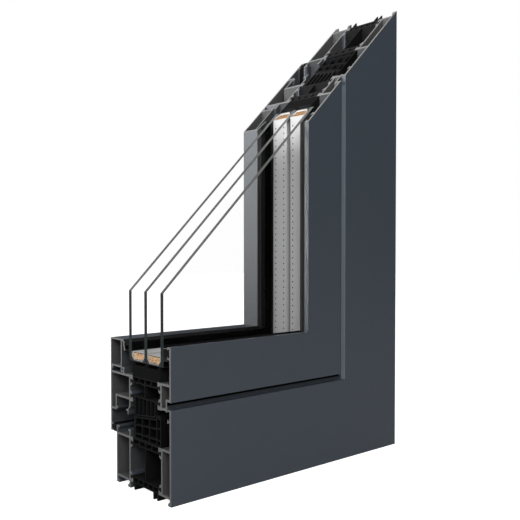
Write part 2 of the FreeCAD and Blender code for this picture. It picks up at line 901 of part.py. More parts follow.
both("frame_outer_shell", frame_outer_shell())
both("frame_inner_shell", frame_inner_shell())
both("frame_upper_bar", upper_bar(size("frame_outer_depth"), shell_front, body_top, size("foot_height")))
both("frame_lower_bar", frame_lower_bar())
both("centre_gasket", centre_gasket())
both("sash_outer_shell", sash_outer_shell())
both("sash_inner_shell", sash_inner_shell())
both("sash_upper_bar", upper_bar(size("sash_outer_depth"), sash_shell_front, rebate, sash_base))
both("sash_lower_bar", sash_lower_bar())
both("rebate_insulation", rebate_insulation())
both("glazing_bead", glazing_bead(), rounded=(sash_depth, bead_top))
both("outer_glazing_gasket", outer_glazing_gasket())
both("inner_glazing_gasket", inner_glazing_gasket())
both("overlap_gasket", overlap_gasket())

first_cavity = size("glass_set") + size("pane")
second_cavity = first_cavity + size("cavity") + size("pane")
for side, cavity_start in (("outer", first_cavity), ("inner", second_cavity)):
    shell = spacer_outline(cavity_start, ZERO)
    filling = spacer_outline(cavity_start, size("spacer_wall"))
    bent(f"{side}_spacer", [shell, filling])
    bent(f"{side}_desiccant", [filling])
    bent(f"{side}_edge_seal", edge_seal(cavity_start))
pane("outer_pane", size("glass_set"))
pane("middle_pane", first_cavity + size("cavity"))
pane("inner_pane", second_cavity + size("cavity"))

# Chambers of the four shells, which the corner cleats fill: depths first, then heights
outside = size("face_wall")
wall = size("wall")
frame_low = size("foot_height") + wall
frame_high = body_top - wall
sash_low = sash_bottom + wall
groove_low = groove_top + wall
sash_high = rebate - wall
cleat("frame_outer_cleat", outside, size("frame_outer_depth") - wall, frame_low, frame_high)
cleat("frame_inner_cleat", shell_front + wall, size("frame_depth") - wall, frame_low, frame_high)
cleat("sash_outer_cleat", outside, size("sash_outer_depth") - wall, sash_low, sash_high)
cleat("sash_inner_cleat", sash_shell_front + wall, sash_depth - wall, groove_low, sash_high)

doc.recompute()
failed = [item.Name for item in doc.Objects if "Invalid" in item.State or "Error" in item.State]
if failed:
    raise RuntimeError(f"not computed: {failed}")
os.makedirs("parts", exist_ok=True)
for body in doc.findObjects("PartDesign::Body"):
    if body.Shape.isNull() or not body.Shape.isValid():
        raise RuntimeError(f"no valid solid in {body.Label}")
    body.Shape.exportStep(f"parts/{body.Label}.step")
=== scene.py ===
import math
import random

import bmesh
import bpy
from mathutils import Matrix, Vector


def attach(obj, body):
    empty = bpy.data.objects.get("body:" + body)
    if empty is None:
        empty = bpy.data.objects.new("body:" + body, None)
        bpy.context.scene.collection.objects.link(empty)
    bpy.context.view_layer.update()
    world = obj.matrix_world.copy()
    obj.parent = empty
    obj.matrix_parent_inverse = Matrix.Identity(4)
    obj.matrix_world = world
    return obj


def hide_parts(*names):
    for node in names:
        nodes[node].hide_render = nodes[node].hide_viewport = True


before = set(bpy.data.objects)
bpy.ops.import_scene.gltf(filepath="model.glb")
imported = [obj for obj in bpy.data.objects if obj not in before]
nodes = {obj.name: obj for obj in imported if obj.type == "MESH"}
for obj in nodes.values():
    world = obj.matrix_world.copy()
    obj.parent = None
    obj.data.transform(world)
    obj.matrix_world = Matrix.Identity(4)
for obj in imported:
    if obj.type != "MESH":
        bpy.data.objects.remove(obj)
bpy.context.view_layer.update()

# Places on the part are millimetres of its section: depth goes from the outside face towards the
# room, height from the frame's outer edge towards the panes, and along follows the member. A
# rectangle of the section is (depth, depth, height, height). Lamps and camera are in metres of
# the shared frame.
MM = 0.001
HALF_LENGTH = 126.0  # from the middle of the box to the cut end of the rail
HALF_DEPTH = 43.0  # from the middle of the box to the outside face
CUT_RISE = 279.0  # z - x on the sawn slant at the top of the jamb
LEFT_SKIN = 0.02  # how far behind a cut plane a point still counts as sawn: in x at the left cut
SLANT_SKIN = 0.03  # and in z - x at the slanted one
ROOT_2 = math.sqrt(2)


# ---------------------------------------------------------------- colours

def srgb(red, green, blue):
    """A colour given as 0 to 255 screen values."""
    linear = []
    for value in (red, green, blue):
        v = value / 255
        linear.append(v / 12.92 if v <= 0.04045 else ((v + 0.055) / 1.055) ** 2.4)
    return (*linear, 1.0)


def grey(value):
    return srgb(value, value, value)


def greys(dark, light):
    return grey(dark), grey(light)


WHITE = (1.0, 1.0, 1.0, 1.0)

# Pairs are the two ends between which a texture mixes. SLANT marks the slanted cut's copies: the
# lighter ones are painted light, the beads' darker ones painted shade.
COAT = srgb(60, 68, 77), srgb(66, 74, 83)
# painted shade for the coat deep between the members
PAINTED_SHADE_COAT = srgb(36, 39, 43), srgb(44, 47, 51)
# painted shade on the sash's leg in the gap, darkest at its top
LEG_SHADE_COAT = srgb(26, 29, 33), srgb(62, 70, 79)
# painted shade on the rail's frame edge in the gap
RAIL_LIP_SHADE = srgb(52, 59, 66)
# painted light on the jamb's frame edge in the gap
JAMB_LIP_LIGHT = srgb(128, 137, 147), srgb(140, 149, 159)
# painted shadow, black, for a slot that the sash's shell lacks
GROOVE_SHADOW_BLACK = grey(4)
MILL = greys(58, 78)
SAWN_METAL = greys(92, 122)
# painted light: a lighter copy of sawn metal for the slanted cut
SAWN_METAL_SLANT_LIT = greys(116, 146)

BAR = greys(17, 25)
BAR_FIBRE = grey(50)
SAWN_BAR = greys(6, 13)
# painted light: a lighter copy of the sawn bar for the slanted cut
SAWN_BAR_SLANT_LIT = greys(18, 28)

RUBBER = greys(9, 15)
OUTER_RUBBER = greys(14, 20)
# painted light: a lighter copy of the outer rubber, for the jamb
OUTER_RUBBER_JAMB_LIT = greys(54, 66)
INNER_RUBBER = greys(7, 12)
# painted light: a lighter copy of the inner rubber, for the jamb
INNER_RUBBER_JAMB_LIT = greys(50, 60)
CUT_RUBBER = greys(13, 22)

FOAM = greys(14, 30)
FOAM_MOTTLE = grey(18)
CUT_FOAM = greys(5, 12)
SEALANT = greys(14, 27)
SPACER = greys(166, 184)
CLEAT = greys(140, 176)

BEADS = srgb(242, 202, 154), srgb(255, 238, 208)
BEAD_DUST = srgb(226, 178, 126)
# painted shade between the beads
BEAD_GAP_SHADE = srgb(190, 140, 92)
# painted shade: darker copies of the beads for the slanted cut
BEADS_SLANT_SHADE = srgb(158, 122, 84), srgb(174, 145, 108)
BEAD_GAPS_SLANT_SHADE = srgb(136, 98, 62)
# painted shade where the beads only show through the spacer's holes
BEADS_PAINTED_SHADE = srgb(48, 36, 26)

GROUND_EDGE = srgb(20, 25, 25), srgb(34, 41, 40)
# painted light: a lighter copy of the ground edge for the slanted cut
GROUND_EDGE_SLANT_LIT = greys(84, 104)
# butyl strips on the panes, painted pale as painted light
BUTYL_PAINTED_LIGHT = greys(172, 192)

FLOOR = greys(198, 204)


# ---------------------------------------------------------------- node graphs

class Graph:
    """A material's nodes, made by short calls that return the output socket."""

    def __init__(self, tree):
        self.tree = tree

    def node(self, kind, inputs=None, **settings):
        made = self.tree.nodes.new(kind)
        for name, value in settings.items():
            setattr(made, name, value)
        for name, value in (inputs or {}).items():
            self.put(made, name, value)
        return made

    def put(self, owner, name, value):
        """Links a socket to an input, or sets the input to a plain value."""
        target = owner.inputs[name]
        if isinstance(value, bpy.types.NodeSocket):
            self.tree.links.new(value, target)
        else:
            target.default_value = value

    def math(self, operation, a, b=0.0):
        return self.node("ShaderNodeMath", {0: a, 1: b}, operation=operation).outputs[0]

    def spread(self, value, low, high, start=0.0, end=1.0):
        """value from low..high stretched to start..end."""
        ends = {"From Min": low, "From Max": high, "To Min": start, "To Max": end}
        return self.node("ShaderNodeMapRange", {"Value": value, **ends}).outputs[0]

    def mix(self, share, a, b):
        """Colour a where share is 0 and b where it is 1."""
        return self.node("ShaderNodeMix", {0: share, 6: a, 7: b}, data_type="RGBA").outputs[2]

    def blend(self, share, a, b):
        """Number a where share is 0 and b where it is 1."""
        return self.node("ShaderNodeMix", {0: share, 2: a, 3: b}, data_type="FLOAT").outputs[0]

    def split(self, vector):
        """The three numbers of a vector."""
        return list(self.node("ShaderNodeSeparateXYZ", {0: vector}).outputs)

    def vector(self, x, y, z):
        return self.node("ShaderNodeCombineXYZ", {0: x, 1: y, 2: z}).outputs[0]

    def noise(self, place, scale, detail=2.0, roughness=0.5):
        made = self.node(
            "ShaderNodeTexNoise",
            {"Vector": place, "Scale": scale, "Detail": detail, "Roughness": roughness},
        )
        return made.outputs[0]

    def bump(self, height, distance, strength):
        """A normal from a height; distance is in millimetres."""
        inputs = {"Height": height, "Distance": distance * MM, "Strength": strength}
        return self.node("ShaderNodeBump", inputs).outputs[0]


def empty_material(name):
    """A new material and its node tree, with no nodes."""
    material = bpy.data.materials.new(name)
    material.use_nodes = True
    material.node_tree.nodes.clear()
    return material, material.node_tree


SECTION_OUTPUTS = ("Place", "Depth", "Height", "Along", "Cut", "Slant", "Jamb")


def section_group():
    """Where a point lies in the section. Place is the shared frame in millimetres. Cut is 1 on
    both sawn faces, Slant on the slanted one alone, and Jamb on the jamb's side of the mitre."""
    group = bpy.data.node_groups.new("section", "ShaderNodeTree")
    for name in SECTION_OUTPUTS:
        kind = "NodeSocketVector" if name == "Place" else "NodeSocketFloat"
        group.interface.new_socket(name, in_out="OUTPUT", socket_type=kind)
    g = Graph(group)
    place = g.node("ShaderNodeTexCoord").outputs["Object"]
    scaled = g.node("ShaderNodeVectorMath", {0: place, 3: 1 / MM}, operation="SCALE").outputs[0]
    x, y, z = g.split(scaled)
    from_side = g.math("SUBTRACT", HALF_LENGTH, x)
    left = g.math("LESS_THAN", x, LEFT_SKIN - HALF_LENGTH)
    slant = g.math("GREATER_THAN", g.math("SUBTRACT", z, x), CUT_RISE - SLANT_SKIN)
    values = (
        scaled,
        g.math("ADD", y, HALF_DEPTH),
        g.math("MINIMUM", z, from_side),
        g.math("MAXIMUM", z, from_side),
        g.math("MAXIMUM", left, slant),
        slant,
        g.math("LESS_THAN", from_side, z),
    )
    out = g.node("NodeGroupOutput")
    for name, value in zip(SECTION_OUTPUTS, values):
        g.put(out, name, value)
    return group


SECTION = section_group()
SAW_RADIUS = 140.0  # of the arcs on the cut faces


class Surface(Graph):
    """A material with one Principled shader and the section's coordinates at hand."""

    def __init__(self, name, specular):
        self.material, tree = empty_material(name)
        super().__init__(tree)
        self.shader = self.node("ShaderNodeBsdfPrincipled", {"Specular IOR Level": specular})
        self.node("ShaderNodeOutputMaterial", {0: self.shader.outputs[0]})
        section = list(self.node("ShaderNodeGroup", node_tree=SECTION).outputs)
        self.place, self.depth, self.height, self.along, self.cut, self.slant, self.jamb = section

    def set(self, **values):
        for name, value in values.items():
            self.put(self.shader, name.replace("_", " "), value)
        return self.material

    def inside(self, *areas, margin=0.0):
        """1 within any of these rectangles of the section, each widened by the margin."""
        found = 0.0
        for depth_0, depth_1, height_0, height_1 in areas:
            across = self.math("SUBTRACT", self.depth, (depth_0 + depth_1) / 2)
            up = self.math("SUBTRACT", self.height, (height_0 + height_1) / 2)
            half_depth = (depth_1 - depth_0) / 2 + margin
            half_height = (height_1 - height_0) / 2 + margin
            in_depth = self.math("LESS_THAN", self.math("ABSOLUTE", across), half_depth)
            in_height = self.math("LESS_THAN", self.math("ABSOLUTE", up), half_height)
            found = self.math("MAXIMUM", found, self.math("MULTIPLY", in_depth, in_height))
        return found

    def streaks(self, fine, length=0.02):
        """Noise drawn out along the member, as an extrusion die leaves it: fine is its scale
        across the member and length its scale along it."""
        place = self.vector(
            self.math("MULTIPLY", self.along, length),
            self.math("MULTIPLY", self.depth, fine),
            self.math("MULTIPLY", self.height, fine),
        )
        return self.noise(place, scale=1.0, detail=3.0, roughness=0.6)

    def saw_marks(self, pitch):
        """Fine arcs that a round blade leaves on a cut face."""
        across = self.math("SUBTRACT", self.depth, HALF_DEPTH)
        up = self.math("ADD", self.height, SAW_RADIUS)
        squares = self.math(
            "ADD", self.math("POWER", across, 2.0), self.math("POWER", up, 2.0)
        )
        ring = self.math("MULTIPLY", self.math("SQRT", squares), 1 / pitch)
        return self.noise(self.vector(ring, 0.0, 0.0), scale=1.0, roughness=0.7)

    def sawn(self, marks, left, slanted):
        """The colour of the left and of the slanted cut, each from a pair of colours; the slanted
        cut's pair is a lighter copy, painted light.
        """
        return self.mix(self.slant, self.mix(marks, *left), self.mix(marks, *slanted))


# ---------------------------------------------------------------- materials

# Where most of a noise's values lie, for a wide and for a narrow stretch.
WIDE = (0.2, 0.8)
NARROW = (0.3, 0.7)
ROUGHNESS = {  # the two ends between which a texture moves it
    "coat": (0.36, 0.46),
    "metal": (0.3, 0.5),
    "bar": (0.5, 0.66),
    "rubber": (0.7, 0.85),
    "foam": (0.95, 0.8),
    "sealant": (0.5, 0.7),
    "spacer": (0.42, 0.55),
    "beads": (0.8, 0.95),
    "cleat": (0.34, 0.5),
    "ground edge": (0.3, 0.5),
}

SHELL_CHAMBERS = {
    "frame_outer_shell": [(2.0, 11.3, 6.7, 38.3)],
    "frame_inner_shell": [(57.7, 75.3, 6.7, 38.3)],
    "sash_outer_shell": [(2.0, 12.2, 76.9, 86.1), (6.8, 12.2, 70.0, 77.0)],
    "sash_inner_shell": [(57.7, 84.3, 70.0, 86.1), (78.6, 84.3, 58.9, 70.1)],
    "glazing_bead": [(70.1, 84.6, 93.0, 112.9)],
}
WALL_REACH = 0.15  # how far a chamber's mask reaches into its walls
SHELL_PAINTED_SHADE = {  # painted shade: coated surfaces deep between the members, coloured greyer and darker than the faces
    "frame_outer_shell": [(1.8, 17.0, 39.8, 68.4)],
    "frame_inner_shell": [(55.0, 75.2, 39.8, 46.0), (54.0, 57.4, 3.0, 38.5)],
    "sash_outer_shell": [(1.8, 18.0, 86.3, 113.5)],
    "sash_inner_shell": [
        (52.0, 84.4, 39.5, 68.5), (52.0, 68.9, 87.5, 93.0), (54.0, 57.4, 70.0, 87.5),
    ],
    "glazing_bead": [(62.0, 68.9, 88.0, 113.0)],
}
GROOVE_SHADOW_AREA = (4.9, 5.3, 72.3, 75.3)  # a painted shadow: black where a slot in the sash's lower lip would be, only coloured
LEG_SHADE_AREA = (4.9, 5.3, 67.5, 72.3)  # the sash's leg below it, in the gap to the frame, where painted shade darkens the coat
LEG_SHADE_FADE = (72.3, 69.6)  # heights between which the painted shade on the leg turns from black to the plain coat
LIP_PAINT_AREA = (-0.1, 4.8, 69.55, 69.85)  # the frame's edge in the gap: painted light on the jamb, painted shade on the rail
LIP_PAINT_FADE = (9.5, 6.0)  # distances from the slanted cut between which the edge's painted light turns to the plain coat

DEEP_ROUGHNESS = 0.8
CHAMBER_ROUGHER = 0.25  # added to the metal's roughness in the chambers
CHAMBER_METAL = 0.1  # metallic shares, low because such metal mostly scatters light
SAWN_METAL_SHARE = 0.35
GRAIN_SHARE = 0.4  # of the coat's fine grain against its broad flow, in colour
GRAIN_RELIEF = 0.35  # of the grain's relief against the streaks and saw marks


def coated(part):
    """Anthracite powder coat outside, mill finish in the chambers, sawn metal on the cuts; painted
    shade deep between the members and on the sash's leg, a painted shadow for its groove, painted
    light on the jamb's frame edge in the gap and painted shade on the rail's.
    """
    m = Surface(part, specular=0.7)
    chamber = m.inside(*SHELL_CHAMBERS[part], margin=WALL_REACH)
    painted_shade = m.inside(*SHELL_PAINTED_SHADE[part])
    groove_shadow = m.inside(GROOVE_SHADOW_AREA)
    flow = m.noise(m.place, scale=0.09)
    grain = m.noise(m.place, scale=2.6, roughness=0.6)
    streaks = m.streaks(1.6)
    marks = m.saw_marks(0.35)

    paint = m.mix(m.blend(GRAIN_SHARE, flow, grain), *COAT)
    # painted shade deep between the members
    paint = m.mix(painted_shade, paint, m.mix(grain, *PAINTED_SHADE_COAT))
    # painted shade on the sash's leg, black at its top
    leg_shade = m.mix(m.spread(m.height, *LEG_SHADE_FADE), *LEG_SHADE_COAT)
    # a painted shadow for the slot in the sash's lower lip
    paint = m.mix(groove_shadow, m.mix(m.inside(LEG_SHADE_AREA), paint, leg_shade), GROOVE_SHADOW_BLACK)
    # the frame's edge in the gap: painted light on the jamb, painted shade on the rail, plain near
    # the slanted cut
    lip = m.mix(m.jamb, RAIL_LIP_SHADE, m.mix(grain, *JAMB_LIP_LIGHT))
    to_slant = m.math("SUBTRACT", CUT_RISE + HALF_LENGTH, m.math("ADD", m.along, m.height))
    lip = m.mix(m.spread(to_slant, *LIP_PAINT_FADE), lip, COAT[0])
    paint = m.mix(m.inside(LIP_PAINT_AREA), paint, lip)
    uncut = m.mix(chamber, paint, m.mix(streaks, *MILL))

    smooth = m.spread(grain, *NARROW, *ROUGHNESS["coat"])
    rough_metal = m.spread(m.blend(m.cut, streaks, marks), *WIDE, *ROUGHNESS["metal"])
    rough_metal = m.math("ADD", rough_metal, m.blend(m.cut, CHAMBER_ROUGHER, 0.0))
    # Black as a metal, the painted groove shadow has no sheen either.
    metal = m.math("ADD", m.math("MULTIPLY", chamber, CHAMBER_METAL), groove_shadow)
    relief = m.blend(chamber, m.math("MULTIPLY", grain, GRAIN_RELIEF), streaks)
    return m.set(
        Base_Color=m.mix(m.cut, uncut, m.sawn(marks, SAWN_METAL, SAWN_METAL_SLANT_LIT)),
        Metallic=m.blend(m.cut, metal, SAWN_METAL_SHARE),
        Roughness=m.blend(
            m.math("MAXIMUM", chamber, m.cut), m.blend(painted_shade, smooth, DEEP_ROUGHNESS), rough_metal
        ),
        Normal=m.bump(m.blend(m.cut, relief, marks), distance=0.02, strength=0.6),
    )


FIBRES = (0.66, 0.74)  # the top of a fine noise, where the fibres lie
FIBRE_SHARE = 0.3


def insulating_bar():
    """Black glass-filled polyamide: drawn along the bar, with short pale fibres and a sawn end."""
    m = Surface("insulating_bar", specular=0.06)
    streaks = m.streaks(2.4)
    fibres = m.spread(m.streaks(9.0, length=0.5), *FIBRES)
    marks = m.saw_marks(0.3)
    colour = m.mix(m.math("MULTIPLY", fibres, FIBRE_SHARE), m.mix(streaks, *BAR), BAR_FIBRE)
    return m.set(
        Base_Color=m.mix(m.cut, colour, m.sawn(marks, SAWN_BAR, SAWN_BAR_SLANT_LIT)),
        Roughness=m.spread(streaks, *WIDE, *ROUGHNESS["bar"]),
        Normal=m.bump(m.blend(m.cut, streaks, marks), distance=0.04, strength=0.6),
    )


def rubber(name, tones, jamb_lit=None, jamb_lit_from=0.0):
    """Matt black rubber with the faint lines of the die and a slightly greyer cut. Where a lighter
    pair is given, the jamb's rubber has it behind the given depth, as painted light on the standing
    member."""
    m = Surface(name, specular=0.06)
    lines = m.streaks(3.0, length=0.03)
    bloom = m.noise(m.place, scale=0.15, detail=3.0)
    marks = m.noise(m.place, scale=1.8, detail=3.0, roughness=0.7)
    colour = m.mix(bloom, *tones)
    # painted light: the jamb's rubber takes the lighter pair
    if jamb_lit is not None:
        behind = m.math("GREATER_THAN", m.depth, jamb_lit_from)
        colour = m.mix(m.math("MULTIPLY", behind, m.jamb), colour, m.mix(bloom, *jamb_lit))
    return m.set(
        Base_Color=m.mix(m.cut, colour, m.mix(marks, *CUT_RUBBER)),
        Roughness=m.spread(lines, *WIDE, *ROUGHNESS["rubber"]),
        Normal=m.bump(m.blend(m.cut, lines, marks), distance=0.02, strength=0.3),
    )


FOAM_WALLS = (0.15, 0.6)  # distances from a cell's middle between which its wall rises
MOTTLE_SHARE = 0.4


def foam():
    """Dark closed-cell foam: small round cells in a smooth skin."""
    m = Surface("insulation", specular=0.05)
    cells = m.node("ShaderNodeTexVoronoi", {"Vector": m.place, "Scale": 1.5}).outputs["Distance"]
    walls = m.spread(cells, *FOAM_WALLS)
    mottle = m.noise(m.place, scale=0.2)
    colour = m.mix(m.math("MULTIPLY", mottle, MOTTLE_SHARE), m.mix(walls, *FOAM), FOAM_MOTTLE)
    return m.set(
        Base_Color=m.mix(m.cut, colour, m.mix(walls, *CUT_FOAM)),
        Roughness=m.spread(walls, 0.0, 1.0, *ROUGHNESS["foam"]),
        Normal=m.bump(walls, distance=0.12, strength=0.7),
    )


def sealant():
    """Matt black sealant, slightly lumpy as it was gunned in."""
    m = Surface("sealant", specular=0.3)
    lumps = m.noise(m.place, scale=0.5, detail=4.0, roughness=0.6)
    return m.set(
        Base_Color=m.mix(lumps, *SEALANT),
        Roughness=m.spread(lumps, *NARROW, *ROUGHNESS["sealant"]),
        Normal=m.bump(lumps, distance=0.25, strength=0.6),
    )


def spacer_metal():
    """Pale satin strip, rolled along its length."""
    m = Surface("spacer", specular=0.15)
    streaks = m.streaks(3.2, length=0.04)
    return m.set(
        Base_Color=m.mix(m.blend(m.cut, streaks, m.saw_marks(0.3)), *SPACER),
        Roughness=m.spread(streaks, *WIDE, *ROUGHNESS["spacer"]),
        Normal=m.bump(streaks, distance=0.015, strength=0.5),
    )


LEFT_BEADS_REACH = 1.3  # in x: how far from the left cut the beads keep their bright tan before painted shade takes over
SLANT_BEADS_REACH = 1.8  # in z - x: how far from the slanted cut they keep the darker copy, painted shade
BEAD_GAP = (0.35, 0.75)  # distances from a bead's middle between which painted shade darkens its colour and its relief falls
DUST_SHARE = 0.3


def grains():
    """Tan molecular sieve, each bead with its own tone, with painted shade between the beads, a
    darker copy on the slanted cut as painted shade, and painted shade where it only shows through
    the spacer's holes."""
    m = Surface("desiccant", specular=0.25)
    cells = m.node("ShaderNodeTexVoronoi", {"Vector": m.place, "Scale": 1.1})
    shade = m.node("ShaderNodeSeparateColor", {0: cells.outputs["Color"]}).outputs[0]
    gaps = m.spread(cells.outputs["Distance"], *BEAD_GAP)
    dust = m.noise(m.place, scale=3.0, detail=3.0)
    tan = m.mix(m.math("MULTIPLY", dust, DUST_SHARE), m.mix(shade, *BEADS), BEAD_DUST)
    # painted shade between the beads
    tan = m.mix(gaps, tan, BEAD_GAP_SHADE)
    # painted shade: a darker copy for the slanted cut
    slant_shade = m.mix(gaps, m.mix(shade, *BEADS_SLANT_SHADE), BEAD_GAPS_SLANT_SHADE)
    x, _, z = m.split(m.place)
    at_left = m.math("LESS_THAN", x, LEFT_BEADS_REACH - HALF_LENGTH)
    at_slant = m.math("GREATER_THAN", m.math("SUBTRACT", z, x), CUT_RISE - SLANT_BEADS_REACH)
    return m.set(
        # painted shade away from the cuts, where the beads only show through the holes
        Base_Color=m.mix(at_slant, m.mix(at_left, BEADS_PAINTED_SHADE, tan), slant_shade),
        Roughness=m.spread(dust, *NARROW, *ROUGHNESS["beads"]),
        Normal=m.bump(m.math("SUBTRACT", 1.0, gaps), distance=0.25, strength=0.8),
    )


def mill_cleat():
    """Mill-finish corner cleat with die lines."""
    m = Surface("cleat", specular=0.5)
    place = m.vector(m.math("MULTIPLY", m.depth, 1.5), m.height, m.along)
    lines = m.noise(place, scale=0.6, detail=3.0)
    return m.set(
        Base_Color=m.mix(lines, *CLEAT),
        Metallic=0.85,
        Roughness=m.spread(lines, *WIDE, *ROUGHNESS["cleat"]),
        Normal=m.bump(lines, distance=0.02, strength=0.5),
    )


SEALED_FACES = (13.3, 31.3, 35.3, 53.3)  # depths of the pane faces that a spacer is stuck to
SEALED_SKIN = 0.1
SEALED_HEIGHT = (100.4, 106.4)
GLINT = 0.06  # share of glass's real reflection, as the photo's panes show almost none
HEAD_ON = 0.04  # what glass reflects of light that meets it squarely
GLASS_ROUGHNESS = 0.1


def glass():
    """Clear float glass that only glints, with dull ground edges, lighter on the slanted cut as
    painted light, and strips of butyl on the faces that the spacers are stuck to, painted pale as
    painted light."""
    m = Surface("glass", specular=0.08)
    geometry = m.node("ShaderNodeNewGeometry").outputs
    across = m.split(geometry["True Normal"])[1]
    edge = m.math("LESS_THAN", m.math("ABSOLUTE", across), 0.5)
    ground = m.noise(m.place, scale=4.0, detail=3.0, roughness=0.7)
    smear = m.noise(m.place, scale=0.8, detail=3.0)
    tilt = m.node("ShaderNodeLayerWeight", {"Blend": 0.5}).outputs["Facing"]
    reflects = m.blend(m.math("POWER", tilt, 5.0), HEAD_ON, 1.0)  # Schlick's approximation
    # painted light: the butyl strips on the panes take a pale colour
    strips = [(d - SEALED_SKIN, d + SEALED_SKIN, *SEALED_HEIGHT) for d in SEALED_FACES]
    strip = m.math("MULTIPLY", m.inside(*strips), m.math("SUBTRACT", 1.0, edge))
    solid = m.math("MAXIMUM", edge, strip)
    edge_colour = m.sawn(ground, GROUND_EDGE, GROUND_EDGE_SLANT_LIT)
    solid_colour = m.mix(edge, m.mix(smear, *BUTYL_PAINTED_LIGHT), edge_colour)
    return m.set(
        Base_Color=m.mix(solid, WHITE, solid_colour),
        Metallic=m.math("SUBTRACT", 1.0, solid),
        Alpha=m.math("MAXIMUM", solid, m.math("MULTIPLY", reflects, GLINT)),
        Roughness=m.blend(
            edge, GLASS_ROUGHNESS, m.spread(ground, *NARROW, *ROUGHNESS["ground edge"])
        ),
    )


INNER_JAMB_LIT_FROM = 61.3  # the depth behind which the jamb's inner gasket is painted lighter, as painted light

outer_gasket = rubber("outer_gasket", OUTER_RUBBER, OUTER_RUBBER_JAMB_LIT)
inner_gasket = rubber("inner_gasket", INNER_RUBBER, INNER_RUBBER_JAMB_LIT, INNER_JAMB_LIT_FROM)
spacer = spacer_metal()
desiccant = grains()

FINISHES = {  # by the end of the node's name; the first that fits counts
    **{part: coated(part) for part in SHELL_CHAMBERS},
    "bar": insulating_bar(),
    "outer_glazing_gasket": outer_gasket,
    "inner_glazing_gasket": inner_gasket,
    "gasket": rubber("gasket", RUBBER),
    "rebate_insulation": foam(),
    "edge_seal": sealant(),
    "spacer": spacer,
    "desiccant": desiccant,
    "pane": glass(),
    "cleat": mill_cleat(),
}

# The CAD nodes keep their meshes and get these materials in their slots.
for name, thing in nodes.items():
    finish = next(FINISHES[ending] for ending in FINISHES if name.endswith(ending))
    if not thing.material_slots:
        thing.data.materials.append(None)
    for place in thing.material_slots:
        place.material = finish


# ---------------------------------------------------------------- pieces in mesh code

def add_mesh(name, points, faces, material):
    """A mesh object from points in metres."""
    mesh = bpy.data.meshes.new(name)
    mesh.from_pydata([Vector(p) for p in points], [], faces)
    mesh.materials.append(material)
    mesh.update()
    thing = bpy.data.objects.new(name, mesh)
    bpy.context.scene.collection.objects.link(thing)
    return thing


WELD_DISTANCE = 0.002


def weld(thing):
    """Joins the corners that faces share and turns all faces outward."""
    work = bmesh.new()
    work.from_mesh(thing.data)
    bmesh.ops.remove_doubles(work, verts=work.verts, dist=WELD_DISTANCE * MM)
    bmesh.ops.recalc_face_normals(work, faces=work.faces)
    work.to_mesh(thing.data)
    work.free()


def on_rail(along, depth, height):
    """Shared-frame metres of a section point at x = along."""
    return (along * MM, (depth - HALF_DEPTH) * MM, height * MM)


def on_jamb(along, depth, height):
    """Shared-frame metres of a section point at z = along."""
    return ((HALF_LENGTH - height) * MM, (depth - HALF_DEPTH) * MM, along * MM)


def rail_start(height):
    return -HALF_LENGTH


def rail_end(height):
    return HALF_LENGTH - height


def jamb_start(height):
    return height


def jamb_end(height):
    return CUT_RISE + HALF_LENGTH - height


def swept(loop, set_back=0.0):
    """Points and faces of a closed section run along the rail and the jamb, mitred in the corner,
    with its ends set back from the two cuts."""
    points = [on_rail(rail_start(h) + set_back, d, h) for d, h in loop]
    points += [on_rail(rail_end(h), d, h) for d, h in loop]
    points += [on_jamb(jamb_end(h) - set_back * ROOT_2, d, h) for d, h in loop]
    count = len(loop)
    faces = []
    for row in (0, 1):
        for k in range(count):
            a, b = row * count + k, row * count + (k + 1) % count
            faces.append((a, b, b + count, a + count))
    faces.append(tuple(range(count)))
    faces.append(tuple(range(2 * count, 3 * count))[::-1])
    return points, faces


SPACER_DEPTHS = {"outer": (13.6, 31.0), "inner": (35.6, 53.0)}
SPACER_HEIGHT = (100.1, 106.7)
SPACER_WALL = 0.4
SPACER_CHAMFER = 2.8  # where the back meets the sides
SHOULDER = 0.9  # rounding where the perforated face meets the sides
HOLE_PITCH = 5.2
HOLE_START = 2.1  # the first hole's distance from the inner corner
HOLE_INSET = 3.45  # a row's distance from the spacer's side
HOLE_RADIUS = 0.7
FLARE_RADIUS = 1.25  # the hole's radius on the inside of the wall
HOLE_SIDES = 12
HOLE_TURN = 225.0  # degrees: a rim's first corner points at its cell's first corner
ROW_HALF = 1.4  # half the width of the strip that a row of holes lies in
HOLED_BANDS = (1, 3)  # those strips, counted across the perforated face

HOLED_LEGS = (  # each with its corner, its cut, the way between them and its number of holes
    (on_rail, rail_end, rail_start, -1, 27),
    (on_jamb, jamb_start, jamb_end, 1, 36),
)


class Faces:
    """A mesh gathered face by face, each with corners of its own until it is welded."""

    def __init__(self):
        self.points, self.faces = [], []

    def add(self, corners):
        first = len(self.points)
        self.points += corners
        self.faces.append(tuple(range(first, len(self.points))))


def outline(side, inset=0.0):
    """The spacer's section from one end of the perforated face, round the back, to the other."""
    near, far = SPACER_DEPTHS[side]
    low, high = SPACER_HEIGHT[0] + inset, SPACER_HEIGHT[1] - inset
    turn = SHOULDER - inset
    bulge = turn * (1 - math.sqrt(0.5))
    near_side = [
        (near + SHOULDER, high),
        (near + inset + bulge, high - bulge),
        (near + inset, high - turn),
        (near + inset, low + SPACER_CHAMFER),
        (near + inset + SPACER_CHAMFER, low),
    ]
    return near_side + [(near + far - depth, height) for depth, height in near_side[::-1]]


